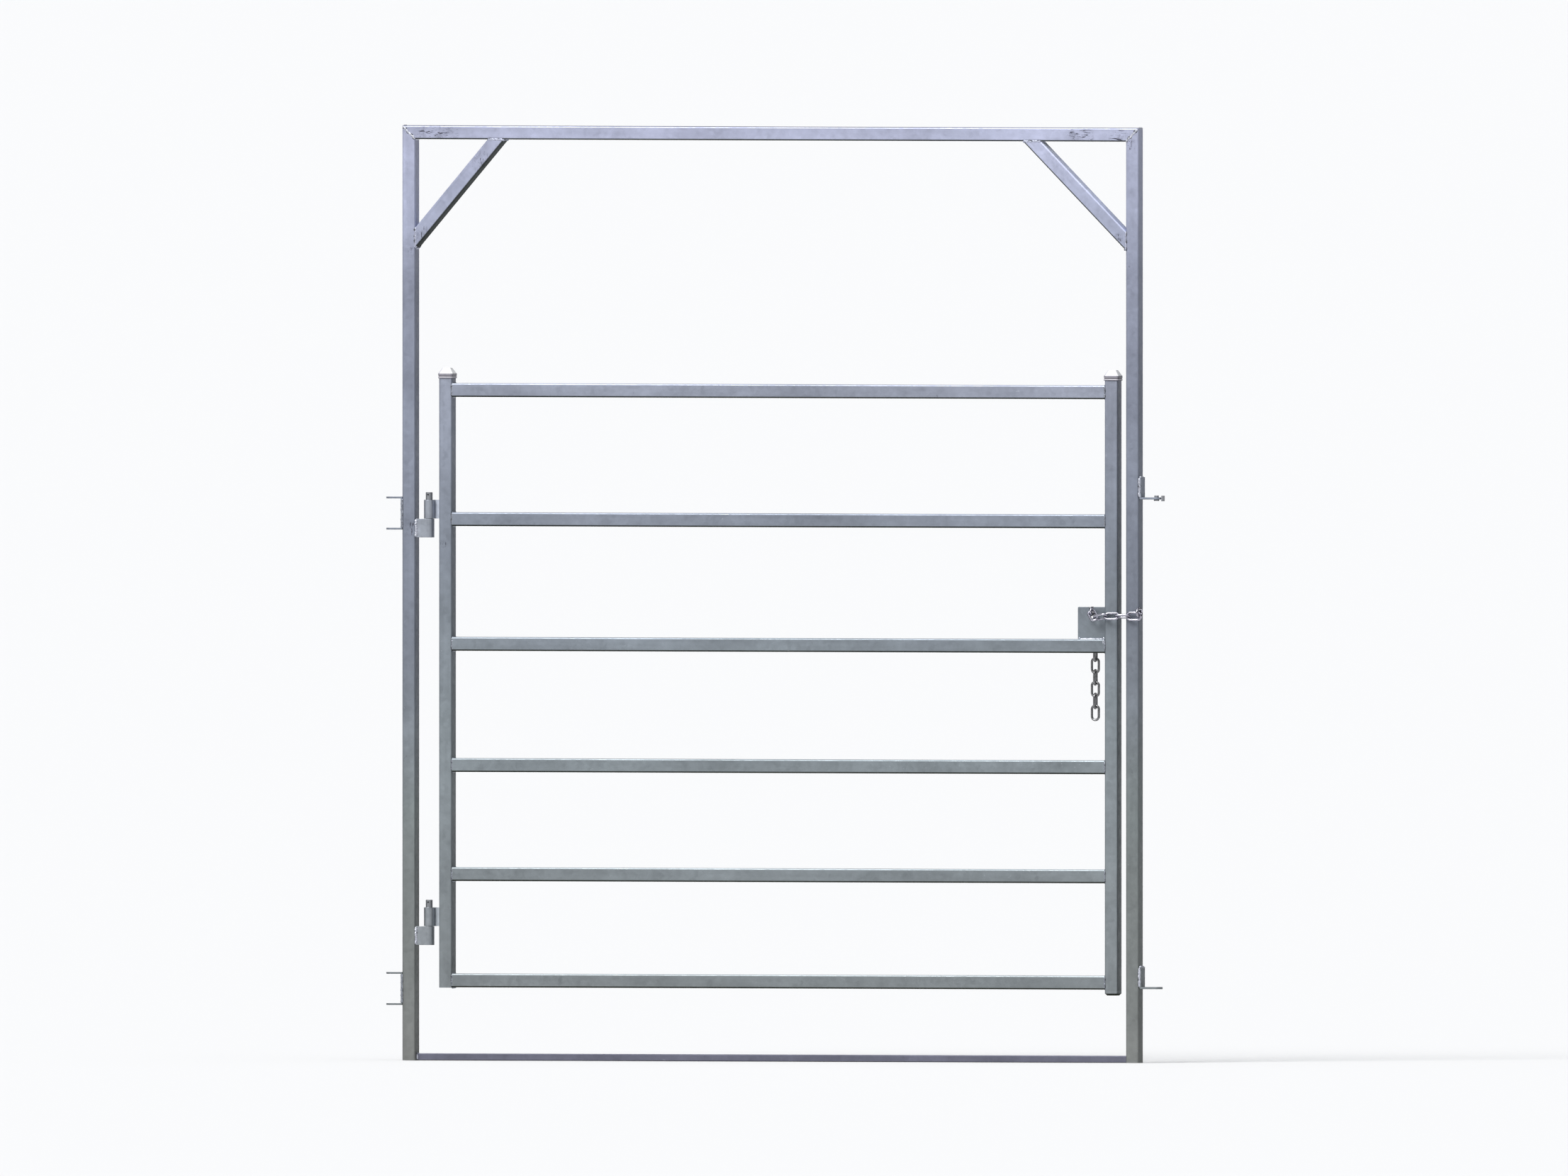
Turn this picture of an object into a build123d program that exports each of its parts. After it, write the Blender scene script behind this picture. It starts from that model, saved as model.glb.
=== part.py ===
from build123d import *
import os
from math import cos, hypot, radians, sin

os.makedirs("parts", exist_ok=True)

# A hot-dip galvanised stock gate in its own tall frame, with a loose chain latch.
# Millimetres. +Z is up, the front faces -Y, the hinges are at -X and the latch at +X.
# The origin is on the ground, midway between the posts and midway through their depth.

# ---- frame ----
frame_height = 2700
frame_width = 2250                  # over the outer faces of the posts
tube = 40                           # square hollow section of the frame and the gate
tube_wall = 2.5
tube_corner = 5                     # outer corner radius of the section
brace_drop = 315                    # a brace's outer edge down the post, from the frame's inner corner
brace_reaches = {-1: 273, 1: 315}   # and along the rail; the left brace stands steeper than 45 degrees
sill_tube = 20                      # small square tube across the ground
sill_wall = 1.6
sill_corner = 2
sill_centre = 6                     # behind the middle of the posts

# ---- gate leaf ----
hinge_gap = 72                      # post face to stile face, hinge side
latch_gap = 25                      # post face to stile face, latch side
stile_foot = 210
stile_top = 1970
latch_stile_foot = 208
rail_heights = [231, 538, 853, 1203, 1563, 1936]    # rail centres above the ground
latch_rail = 3                      # the rail, counted from 0, that carries the latch plate

# ---- stile caps ----
cap_size = 45
cap_corner = 6
cap_rim = 13
cap_groove = 1.2
cap_dome = 17
cap_dome_inset = 11
cap_spigot = 20
foot_cap_height = 14
foot_cap_chamfer = 6

# ---- hinges ----
pin_radius = 10
strap = 5                           # thickness of the flat bar bent round the pin
eye_height = 54
hinge_heights = {"lower": 387, "upper": 1564}       # meeting plane of the two eyes
eye_gap = 0.5
running_clearance = 0.08            # radial, pin in gate eye
pin_stand_up = 22                   # pin above the upper eye
cotter_radius = 2.5
cotter_drop = 7                     # cross hole below the top of the pin
pin_bevel = 1.5

# ---- coupling brackets on the outsides of the posts ----
lug_width = 35
lug_bore_radius = 7
bracket_bar = 5
bracket_reach = 54                  # left brackets: post face to the tip of an ear
bracket_pitch = 90                  # centre to centre of the two ears
bracket_heights = {"lower": 207, "upper": 1580}     # midway between the ears
bend_radius = 6                     # outer bend radius of the bent bars
lug_bar = 6
lug_reach = 65                      # right lugs: post face to the tip of the tongue
lug_leg = 64                        # upright leg above the underside of the tongue
lug_heights = {"lower": 213, "upper": 1627}         # underside of the tongue
stud_radius = 6.5
stud_above = 5.5
stud_below = 4
stop_size = (4, 20, 16)             # small stop plate on the tip of the upper tongue

edge_ease = 0.6                     # rounding that zinc leaves on cut edges

# ---- latch plate ----
plate_thickness = 6
plate_width = 87
plate_height = 93
slot_x = 974
slot_width = 12
keyhole_radius = 10.5
keyhole_height = 1293

# ---- chain ----
wire = 7                            # diameter of the round bar of a link
pitch = 34.5                        # inside length of a link
link_width = 28                     # outside width
play = 0.4                          # gap left between two links that pull on each other
bend = (link_width - wire) / 2      # centre-line radius of a link's ends
link_end = (pitch + wire) / 2       # link centre to the wire of its own end
seat = link_end - wire - play       # link centre to the wire of its neighbour's end
anchor_drop = 1290                  # height of the anchor's lower bar
anchor_y = -26
run_y = -35                         # front run, clear of the tubes' front faces
front_rolls = [0, 70.6, -37.9, 57.1]      # turn of links 1 to 4 about the run, in degrees
knee = (993.6, -29.5, 1284)         # where link 5 turns back towards the plate
link_5_roll = 38
slot_link_y = 2.86
slot_link_z = 1303
slot_link_yaw = 7.36
tail_links = 9
tail_lean = 18.5                    # first two tail links lean over the rail's back edge

# ---- worked-out positions ----
half_tube = tube / 2
post_x = frame_width / 2 - half_tube
post_face = frame_width / 2 - tube                  # inner face of a post, from the middle
hinge_stile_x = -post_face + hinge_gap + half_tube
latch_stile_x = post_face - latch_gap - half_tube
hinge_x = -post_face + hinge_gap / 2
eye_radius = pin_radius + running_clearance + strap
latch_stile_face = latch_stile_x - half_tube
plate_foot = rail_heights[latch_rail] + half_tube
anchor_x = frame_width / 2 + wire / 2


def save(name, solid):
    """Write one sub-part to its own STEP file."""
    solid.label = name
    export_step(solid, f"parts/{name}.step")


def square_tube(length, size=tube, wall=tube_wall, corner=tube_corner):
    """A hollow square section with rounded corners, standing on the XY plane."""
    outer = RectangleRounded(size, size, corner)
    inner = RectangleRounded(size - 2 * wall, size - 2 * wall, corner - wall)
    return extrude(outer - inner, length)


def tube_between(start, end, **section):
    """A square tube from one point to another, with one face kept to the front."""
    run = Vector(*end) - Vector(*start)
    return Plane(origin=start, x_dir=(0, 1, 0), z_dir=run) * square_tube(run.length, **section)


def cut_behind(solid, point, normal):
    """Keep what lies against the normal of a plane through the point."""
    return split(solid, bisect_by=Plane(origin=point, z_dir=normal), keep=Keep.BOTTOM)


# ---------------------------------------------------------------- frame
def post(side):
    """An upright, mitred at the top. side is -1 on the left and +1 on the right."""
    upright = tube_between((side * post_x, 0, 0), (side * post_x, 0, frame_height))
    corner = (side * frame_width / 2, 0, frame_height)
    return cut_behind(upright, corner, (-side, 0, 1))


def top_rail():
    """The rail over the gate, mitred at both ends."""
    height = frame_height - half_tube
    rail = tube_between((-frame_width / 2, 0, height), (frame_width / 2, 0, height))
    for side in (-1, 1):
        rail = cut_behind(rail, (side * frame_width / 2, 0, frame_height), (side, 0, -1))
    return rail


def corner_brace(side):
    """A brace across a corner, cut off on the post's face and on the rail's underside."""
    underside = frame_height - tube
    reach = brace_reaches[side]
    corner_distance = reach * brace_drop / hypot(reach, brace_drop)
    to_middle = 1 - half_tube / corner_distance       # the tube's centre line against its outer edge
    low = Vector(side * post_face, 0, underside - brace_drop * to_middle)
    high = Vector(side * (post_face - reach * to_middle), 0, underside)
    along = (high - low).normalized()
    brace = tube_between(low - along * tube, high + along * tube)
    brace = cut_behind(brace, (0, 0, underside), (0, 0, 1))
    return cut_behind(brace, (side * post_face, 0, 0), (side, 0, 0))


def sill():
    """The small tube on the ground between the posts, set a little behind their middle."""
    ends = [(side * post_face, sill_centre, sill_tube / 2) for side in (-1, 1)]
    return tube_between(*ends, size=sill_tube, wall=sill_wall, corner=sill_corner)


# ---------------------------------------------------------------- hinges
def eased(solid, edges):
    """Round off the given sharp edges, as zinc does on cut bar."""
    return fillet(edges, edge_ease)


def hinge_eye(height, toward, bore):
    """Flat bar bent round the pin. Its tail runs to the post (-1) or to the stile (+1)."""
    ring = Circle(eye_radius) - Circle(bore)
    tail = Pos(hinge_gap / 4, eye_radius - strap / 2) * Rectangle(hinge_gap / 2, strap)
    outline = ring + (tail - Circle(bore))
    eye = extrude(outline, eye_height)
    ends = eye.edges().filter_by(Axis.Z, reverse=True).filter_by(GeomType.CIRCLE)
    outer = [edge for edge in ends if edge.radius > bore + 1]
    eye = eased(eye, outer)
    if toward < 0:
        eye = Rot(0, 0, 180) * eye
    return Pos(hinge_x, 0, height) * eye


def hinge_pin(meeting):
    """Round pin through both eyes, bevelled at the top and cross-drilled for a split pin."""
    foot = meeting - eye_height
    top = meeting + eye_gap + eye_height + pin_stand_up
    body = extrude(Circle(pin_radius), top - foot)
    body = chamfer(body.edges().group_by(Axis.Z)[-1], pin_bevel)
    body = Pos(hinge_x, 0, foot) * body
    cross = Cylinder(cotter_radius, 4 * pin_radius, rotation=(90, 0, 0))
    return body - Pos(hinge_x, 0, top - cotter_drop) * cross


# ---------------------------------------------------------------- gate leaf
def stile(x, foot):
    """One of the two uprights of the leaf."""
    return tube_between((x, 0, foot), (x, 0, stile_top))


def gate_rail(height):
    """A rail between the faces of the two stiles."""
    return tube_between((hinge_stile_x + half_tube, 0, height), (latch_stile_face, 0, height))


def stile_cap(x):
    """Cap with a grooved rim and a four-sided dome, on a spigot inside the stile."""
    rim = extrude(RectangleRounded(cap_size, cap_size, cap_corner), cap_rim)
    band = RectangleRounded(cap_size, cap_size, cap_corner)
    band -= RectangleRounded(cap_size - 2 * cap_groove, cap_size - 2 * cap_groove, cap_corner - cap_groove)
    groove = Pos(0, 0, cap_rim * 0.4) * extrude(band, cap_groove * 2)
    narrow = cap_size - 2 * cap_dome_inset
    base = RectangleRounded(cap_size, cap_size, cap_corner)
    crown = Pos(0, 0, cap_dome) * RectangleRounded(narrow, narrow, cap_corner / 2)
    dome = Pos(0, 0, cap_rim) * loft([base, crown])
    plug_size = tube - 2 * tube_wall - 0.4
    spigot = Pos(0, 0, -cap_spigot) * extrude(RectangleRounded(plug_size, plug_size, 2), cap_spigot)
    return Pos(x, 0, stile_top) * (rim - groove + dome + spigot)


def foot_cap():
    """Plain bevelled cap under the latch stile."""
    plate = extrude(RectangleRounded(tube, tube, tube_corner), foot_cap_chamfer - foot_cap_height)
    narrow = tube - 2 * foot_cap_chamfer
    base = Pos(0, 0, foot_cap_chamfer - foot_cap_height) * RectangleRounded(tube, tube, tube_corner)
    bottom = Pos(0, 0, -foot_cap_height) * RectangleRounded(narrow, narrow, tube_corner / 2)
    return Pos(latch_stile_x, 0, latch_stile_foot) * (plate + loft([base, bottom]))


def latch_plate():
    """Plate standing on the latch rail against the stile, with an open-topped keyhole."""
    left = latch_stile_face - plate_width
    top = plate_foot + plate_height
    face = Pos((left + latch_stile_face) / 2, (plate_foot + top) / 2) * Rectangle(plate_width, plate_height)
    face = fillet(face.vertices().group_by(Axis.X)[0], 3)
    slot_height = top - keyhole_height
    face -= Pos(slot_x, keyhole_height + slot_height / 2) * Rectangle(slot_width, slot_height)
    face -= Pos(slot_x, keyhole_height) * Circle(keyhole_radius)
    mouth = face.vertices().filter_by_position(Axis.X, slot_x - slot_width, slot_x + slot_width)
    face = fillet(mouth.group_by(Axis.Y)[-1], 1.5)
    stand = Plane(origin=(0, plate_thickness / 2, 0), x_dir=(1, 0, 0), z_dir=(0, -1, 0))
    plate = stand * extrude(face, plate_thickness)
    rims = plate.edges().group_by(Axis.Y)
    free = [edge for edge in rims[0] + rims[-1]
            if edge.center().Z > plate_foot + 1 and edge.center().X < latch_stile_face - 1]
    return eased(plate, free)


# ---------------------------------------------------------------- couplings
def ear_outline(reach):
    """Plan of an ear or tongue: straight sides, a round tip and a round hole."""
    radius = lug_width / 2
    straight = reach - radius
    plan = Pos(straight / 2, 0) * Rectangle(straight, lug_width) + Pos(straight, 0) * Circle(radius)
    return plan - Pos(straight, 0) * Circle(lug_bore_radius)


def coupling_bracket(middle):
    """Flat bar bent to a C: a web on the left post and two drilled ears."""
    ear = extrude(ear_outline(bracket_reach), bracket_bar)
    offset = bracket_pitch / 2
    web_height = bracket_pitch + bracket_bar
    web = Box(bracket_bar, lug_width, web_height, align=(Align.MIN, Align.CENTER, Align.CENTER))
    shape = web
    for z in (-offset, offset):
        shape += Pos(0, 0, z - bracket_bar / 2) * ear
    heels = shape.edges().filter_by(Axis.Y).filter_by_position(Axis.X, -0.1, 0.1)
    shape = fillet(heels, bend_radius)
    tips = shape.edges().filter_by(GeomType.CIRCLE).filter_by_position(Axis.X, bracket_reach - lug_width, 99)
    tips = [edge for edge in tips if edge.radius > lug_bore_radius + 1 and abs(edge.normal().Z) > 0.9]
    shape = eased(shape, tips)
    return Pos(-frame_width / 2, 0, middle) * Rot(0, 0, 180) * shape


def coupling_lug(underside):
    """Flat bar bent to an L: a leg on the right post and one drilled tongue."""
    tongue = extrude(ear_outline(lug_reach), lug_bar)
    leg = Box(lug_bar, lug_width, lug_leg, align=(Align.MIN, Align.CENTER, Align.MIN))
    shape = leg + tongue
    heel = shape.edges().filter_by(Axis.Y).filter_by_position(Axis.X, -0.1, 0.1).group_by(Axis.Z)[0]
    shape = fillet(heel, bend_radius)
    tips = shape.edges().filter_by(GeomType.CIRCLE).filter_by_position(Axis.X, lug_reach - lug_width, 99)
    tips = [edge for edge in tips if edge.radius > lug_bore_radius + 1 and abs(edge.normal().Z) > 0.9]
    shape = eased(shape, tips)
    return Pos(frame_width / 2, 0, underside) * shape


def lug_stud():
    """Short round stud through the hole of the upper tongue, with a thin foot below."""
    x = frame_width / 2 + lug_reach - lug_width / 2
    foot = lug_heights["upper"]
    shank = extrude(Circle(stud_radius), lug_bar + stud_above)
    shank = chamfer(shank.edges().group_by(Axis.Z)[-1], 1)
    collar = Pos(0, 0, -stud_below) * extrude(Circle(lug_bore_radius + 1), stud_below)
    neck = extrude(Circle(lug_bore_radius), lug_bar)
    return Pos(x, 0, foot) * (shank + neck + collar)


def lug_stop():
    """Small upright plate welded to the tip of the upper tongue."""
    x = frame_width / 2 + lug_reach
    middle = lug_heights["upper"] + lug_bar / 2
    return Pos(x, 0, middle) * Box(*stop_size, align=(Align.MIN, Align.CENTER, Align.CENTER))


# ---------------------------------------------------------------- chain
def chain_link():
    """One oval link about the origin: long along X, flat in the XY plane."""
    straight = link_end - bend
    section = Circle(wire / 2)
    shape = None
    for side in (-1, 1):
        bar = extrude(Plane.YZ.offset(-straight) * Pos(side * bend, 0) * section, 2 * straight)
        turn = Axis((side * straight, 0, 0), (0, 0, -side))
        end = revolve(Plane.YZ.offset(side * straight) * Pos(bend, 0) * section, turn, 180)
        shape = bar + end if shape is None else shape + bar + end
    return shape


def place_link(centre, along, normal):
    """Lay a link at a centre, with its long axis and its face pointing as given."""
    return Plane(origin=centre, x_dir=along, z_dir=normal) * chain_link()


def rolled(along, degrees):
    """The direction square to a link's long axis, turned about it from straight ahead."""
    along = Vector(*along).normalized()
    ahead = Vector(0, 1, 0) - along * along.Y
    up = along.cross(ahead.normalized()) * -1
    if up.Z < 0:
        up = up * -1
    return ahead.normalized() * cos(radians(degrees)) + up * sin(radians(degrees))


def chain_layout():
    """Centre, long axis and face direction of every loose link, from anchor to tail end."""
    links = {}
    joint = Vector(anchor_x, run_y, anchor_drop)
    along = Vector(-1, 0, 0)
    for number in (1, 2, 3):
        links[f"chain_link_{number}"] = (joint + along * seat, along, rolled(along, front_rolls[number - 1]))
        joint = joint + along * (seat + link_end)

    along = (Vector(*knee) - joint).normalized()
    links["chain_link_4"] = (joint + along * seat, along, rolled(along, front_rolls[3]))
    joint = joint + along * (seat + link_end)
    yaw = radians(slot_link_yaw)
    slot_centre = Vector(slot_x + 1, slot_link_y, slot_link_z)
    slot_along = Vector(-sin(yaw), cos(yaw), 0)
    slot_normal = Vector(cos(yaw), sin(yaw), 0)
    far = Vector(slot_x, slot_link_y - seat + 0.53, slot_link_z + 0.92)
    along = (far - joint).normalized()
    flat = (Vector(0, 0, 1) - along * along.Z).normalized()
    across = flat.cross(along)
    turn = radians(link_5_roll)
    links["chain_link_5"] = (joint + along * seat, along, flat * cos(turn) + across * sin(turn))
    links["slot_link"] = (slot_centre, slot_along, slot_normal)

    lean = radians(tail_lean)
    leaning = Vector(0, sin(lean), -cos(lean))
    hanging = Vector(0, 0, -1)
    heel = slot_centre + slot_along * (link_end - bend)
    joint = heel + leaning * bend
    for number in range(1, tail_links + 1):
        along = leaning if number < 3 else hanging
        if number == 3:
            joint = joint - leaning * bend + along * bend
        centre = joint + along * seat
        face_on = number % 2 == 1
        normal = Vector(0, -along.Z, along.Y) if face_on else Vector(1, 0, 0)
        links[f"tail_link_{number}"] = (centre, along, normal)
        joint = centre + along * link_end
    return links


def anchor_link():
    """The link welded flat to the right post's outer face; the chain hangs from it."""
    return place_link((anchor_x, anchor_y, anchor_drop + bend), (0, 1, 0), (1, 0, 0))


# ---------------------------------------------------------------- write the parts
save("left_post", post(-1))
save("right_post", post(1))
save("top_rail", top_rail())
save("left_brace", corner_brace(-1))
save("right_brace", corner_brace(1))
save("ground_sill", sill())
for level, middle in bracket_heights.items():
    save(f"{level}_left_bracket", coupling_bracket(middle))
for level, underside in lug_heights.items():
    save(f"{level}_right_lug", coupling_lug(underside))
save("lug_stud", lug_stud())
save("lug_stop", lug_stop())

for level, meeting in hinge_heights.items():
    save(f"{level}_post_hinge_eye", hinge_eye(meeting - eye_height, -1, pin_radius))
    save(f"{level}_gate_hinge_eye", hinge_eye(meeting + eye_gap, 1, pin_radius + running_clearance))
    save(f"{level}_hinge_pin", hinge_pin(meeting))

save("hinge_stile", stile(hinge_stile_x, stile_foot))
save("latch_stile", stile(latch_stile_x, latch_stile_foot))
for number, height in enumerate(rail_heights, start=1):
    save(f"gate_rail_{number}", gate_rail(height))
save("hinge_stile_cap", stile_cap(hinge_stile_x))
save("latch_stile_cap", stile_cap(latch_stile_x))
save("latch_stile_foot_cap", foot_cap())
save("latch_plate", latch_plate())

save("chain_anchor_link", anchor_link())
for name, (centre, along, normal) in chain_layout().items():
    save(name, place_link(centre, along, normal))
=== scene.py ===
import math
import random

import bmesh
import bpy
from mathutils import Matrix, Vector


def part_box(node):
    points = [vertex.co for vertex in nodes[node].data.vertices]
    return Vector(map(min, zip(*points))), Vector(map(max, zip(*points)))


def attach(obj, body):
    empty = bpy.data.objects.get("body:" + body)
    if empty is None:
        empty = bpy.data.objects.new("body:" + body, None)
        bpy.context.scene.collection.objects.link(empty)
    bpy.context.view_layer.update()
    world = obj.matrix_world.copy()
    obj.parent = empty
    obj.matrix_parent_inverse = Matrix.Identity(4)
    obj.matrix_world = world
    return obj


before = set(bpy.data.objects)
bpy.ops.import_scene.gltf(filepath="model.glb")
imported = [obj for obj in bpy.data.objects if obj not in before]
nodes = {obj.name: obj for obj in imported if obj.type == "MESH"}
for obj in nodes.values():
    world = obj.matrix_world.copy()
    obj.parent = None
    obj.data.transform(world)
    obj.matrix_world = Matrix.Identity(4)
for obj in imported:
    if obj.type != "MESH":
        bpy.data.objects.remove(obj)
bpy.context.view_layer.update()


# ------------------------------------------------------------------ camera
AZIMUTH, ELEVATION, DISTANCE = 19.0, 0.6, 140.0      # far enough back for every ray to start above the floor
VIEW_END = 2000                   # nothing is cut off at the far end of the floor
PHOTO_W, PHOTO_H = 2212, 1659
OBJECT_PX = 1319                  # height of the frame in the picture
CENTRE_PX = (1090.0, 838.0)       # where the middle of the frame falls in the picture


def make_camera():
    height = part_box("right_post")[1].z
    metres_per_px = height / OBJECT_PX
    a, e = math.radians(AZIMUTH), math.radians(ELEVATION)
    back = Vector((math.sin(a) * math.cos(e), -math.cos(a) * math.cos(e), math.sin(e)))
    right = Vector((math.cos(a), math.sin(a), 0))
    up = right.cross(-back)
    middle = Vector((0, 0, height / 2))
    aim = middle + right * ((PHOTO_W / 2 - CENTRE_PX[0]) * metres_per_px)
    aim += up * ((CENTRE_PX[1] - PHOTO_H / 2) * metres_per_px)
    data = bpy.data.cameras.new("camera")
    data.type = "ORTHO"                # the photo shows no perspective: rails level, posts upright
    data.ortho_scale = PHOTO_W * metres_per_px
    data.clip_end = VIEW_END
    camera = bpy.data.objects.new("camera", data)
    camera.location = aim + back * DISTANCE
    camera.rotation_mode = "QUATERNION"
    camera.rotation_quaternion = (-back).to_track_quat("-Z", "Y")
    bpy.context.scene.collection.objects.link(camera)
    bpy.context.scene.camera = camera


# ------------------------------------------------------------------ materials
# Noise scales are features per metre. Colours are written as sRGB and turned into linear values.
class Nodes:
    """Small helper that adds and links shader nodes of one material."""

    def __init__(self, name):
        self.material = bpy.data.materials.new(name)
        self.material.use_nodes = True
        self.tree = self.material.node_tree
        self.shader = self.tree.nodes["Principled BSDF"]
        self.coords = self.add("ShaderNodeTexCoord", name="Texture Coordinate").outputs["Object"]

    def add(self, kind, **settings):
        node = self.tree.nodes.new(kind)
        for key, value in settings.items():
            setattr(node, key, value)
        return node

    def link(self, source, target):
        if isinstance(source, (int, float)):
            target.default_value = source
        elif isinstance(source, tuple):
            target.default_value = source if len(source) != 3 or target.type == "VECTOR" else (*source, 1)
        else:
            self.tree.links.new(source, target)

    def scaled(self, scale, rotate=(0, 0, 0)):
        """Coordinates turned back by rotate, then multiplied by scale along the turned axes."""
        node = self.add("ShaderNodeMapping", vector_type="TEXTURE")
        self.link(self.coords, node.inputs["Vector"])
        node.inputs["Rotation"].default_value = rotate
        node.inputs["Scale"].default_value = tuple(1 / s for s in scale)
        return node.outputs["Vector"]

    def noise(self, vector, scale, detail=4.0, rough=0.55, twist=0.0):
        node = self.add("ShaderNodeTexNoise")
        self.link(vector, node.inputs["Vector"])
        node.inputs["Scale"].default_value = scale
        node.inputs["Detail"].default_value = detail
        node.inputs["Roughness"].default_value = rough
        node.inputs["Distortion"].default_value = twist
        return node.outputs["Fac"]

    def cells(self, vector, scale, output="Color", feature="F1"):
        node = self.add("ShaderNodeTexVoronoi", feature=feature)
        self.link(vector, node.inputs["Vector"])
        node.inputs["Scale"].default_value = scale
        return node.outputs[output]

    def spread(self, value, low, high, to_low=0.0, to_high=1.0):
        node = self.add("ShaderNodeMapRange")
        self.link(value, node.inputs["Value"])
        node.inputs["From Min"].default_value = low
        node.inputs["From Max"].default_value = high
        node.inputs["To Min"].default_value = to_low
        node.inputs["To Max"].default_value = to_high
        return node.outputs["Result"]

    def math(self, kind, a, b=0.0):
        node = self.add("ShaderNodeMath", operation=kind)
        self.link(a, node.inputs[0])
        self.link(b, node.inputs[1])
        return node.outputs[0]

    def ramp(self, value, stops):
        node = self.add("ShaderNodeValToRGB")
        self.link(value, node.inputs["Fac"])
        band = node.color_ramp
        while len(band.elements) < len(stops):
            band.elements.new(0.5)
        for element, (at, colour) in zip(band.elements, stops):
            element.position = at
            element.color = (*colour, 1)
        return node.outputs["Color"]

    def mix(self, factor, a, b, blend="MIX"):
        node = self.add("ShaderNodeMix", data_type="RGBA", blend_type=blend)
        self.link(factor, node.inputs[0])
        self.link(a, node.inputs[6])
        self.link(b, node.inputs[7])
        return node.outputs[2]

    def facing(self, axis="Z"):
        """How far a face looks along an axis: 1 towards it, -1 away, in the object's own space."""
        split = self.add("ShaderNodeSeparateXYZ")
        self.link(self.tree.nodes["Texture Coordinate"].outputs["Normal"], split.inputs[0])
        return split.outputs[axis]

    def near(self, x, y, z, radius):
        node = self.add("ShaderNodeVectorMath", operation="DISTANCE")
        self.link(self.coords, node.inputs[0])
        node.inputs[1].default_value = (x, y, z)
        return self.spread(node.outputs["Value"], radius * 0.55, radius, 1.0, 0.0)

    def scratches(self, marks, stretch):
        """Short scrapes that lie along stretch, and faint smudges, gathered round the given places."""
        place = None
        for mark in marks:
            spot = self.near(*mark)
            place = spot if place is None else self.math("MAXIMUM", place, spot)
        scrape = self.spread(self.noise(self.scaled(stretch), 210.0, 3.0, 0.6, 0.3), 0.57, 0.64)
        dots = self.spread(self.noise(self.coords, 330.0, 2.0), 0.66, 0.71)
        smudge = self.spread(self.noise(self.coords, 44.0, 5.0, 0.7, 0.5), 0.50, 0.68, 0.0, 0.42)
        cover = self.math("MAXIMUM", self.math("MAXIMUM", scrape, dots), smudge)
        return self.math("MULTIPLY", self.math("MULTIPLY", cover, place), 0.92)

    def bump(self, height, strength, distance, normal=None):
        node = self.add("ShaderNodeBump")
        node.inputs["Strength"].default_value = strength
        node.inputs["Distance"].default_value = distance
        self.link(height, node.inputs["Height"])
        if normal is not None:
            self.link(normal, node.inputs["Normal"])
        return node.outputs["Normal"]


def srgb(r, g, b):
    return tuple(((c / 255 + 0.055) / 1.055) ** 2.4 if c > 10 else c / 3294 for c in (r, g, b))


ZINC_TONE = 0.85                   # overall tone of the zinc against the ramps below
PAINTED_UNDER_SHADE = (0.20, 0.21, 0.16)    # painted shade and painted reflection of the ground: what the skin of a downward face is multiplied by


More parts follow.
